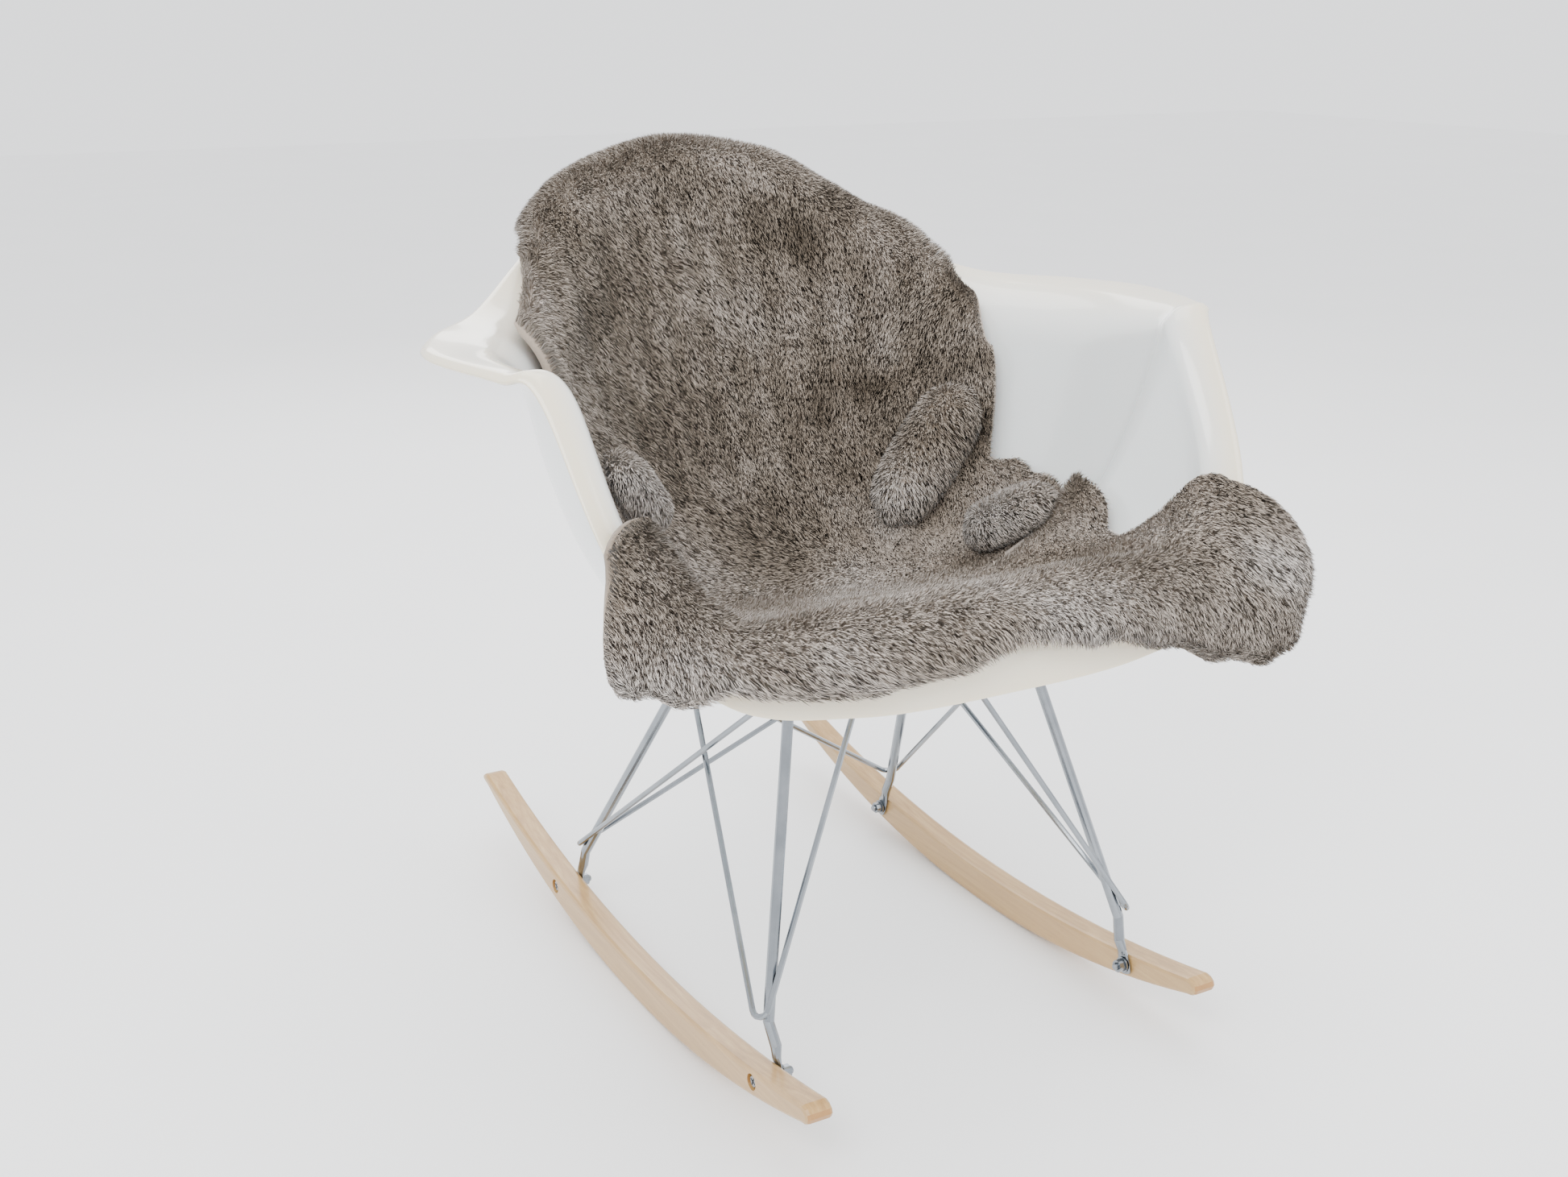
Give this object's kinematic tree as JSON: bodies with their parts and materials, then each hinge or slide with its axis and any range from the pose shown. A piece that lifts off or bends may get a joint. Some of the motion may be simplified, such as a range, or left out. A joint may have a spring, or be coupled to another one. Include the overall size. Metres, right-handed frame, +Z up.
{
  "type": "rocking chair",
  "caption": "Rocking armchair: moulded glossy bucket shell on a wire base with curved wooden runners, with a loose fur throw draped over its back and arms.",
  "frame": {"origin": "centre of the whole chair's bounding box, on the floor under the runners", "axes": "+Z up, the sitter faces -Y, +X is on the sitter's left"},
  "size_m": [0.6674, 0.645, 0.6851],
  "materials": {
    "shell": "glossy, lightly textured moulded shell",
    "beech": "clear satin varnish",
    "metal": "bright zinc plate",
    "rubber": "matt",
    "fur": "dense plush pile"
  },
  "bodies": {
    "chair": {"seat_shell": "shell", "runner_left": "beech", "runner_right": "beech", "front_leg_frame": "metal", "rear_leg_frame": "metal", "front_left_brace": "metal", "front_right_brace": "metal", "rear_left_brace": "metal", "rear_right_brace": "metal", "side_rail_left": "metal", "side_rail_right": "metal", "mount_plate_front_left": "metal", "mount_plate_front_right": "metal", "mount_plate_rear_left": "metal", "mount_plate_rear_right": "metal", "shock_mount_front_left": "rubber", "shock_mount_front_right": "rubber", "shock_mount_rear_left": "rubber", "shock_mount_rear_right": "rubber", "mount_screw_front_left": "metal", "mount_screw_front_right": "metal", "mount_screw_rear_left": "metal", "mount_screw_rear_right": "metal", "runner_bolt_front_left": "metal", "runner_bolt_front_right": "metal", "runner_bolt_rear_left": "metal", "runner_bolt_rear_right": "metal", "washer_front_left": "metal", "washer_front_right": "metal", "washer_rear_left": "metal", "washer_rear_right": "metal", "nut_front_left": "metal", "nut_front_right": "metal", "nut_rear_left": "metal", "nut_rear_right": "metal"},
    "throw": {"throw_hide": "fur", "throw_paw_right_upper": "fur", "throw_paw_right_lower": "fur", "throw_paw_left": "fur"}
  },
  "joints": [
    {"name": "throw_lift", "type": "slide", "parent": "chair", "child": "throw", "axis": [0, 0, 1], "range_m": [0, 0.45]}
  ]
}
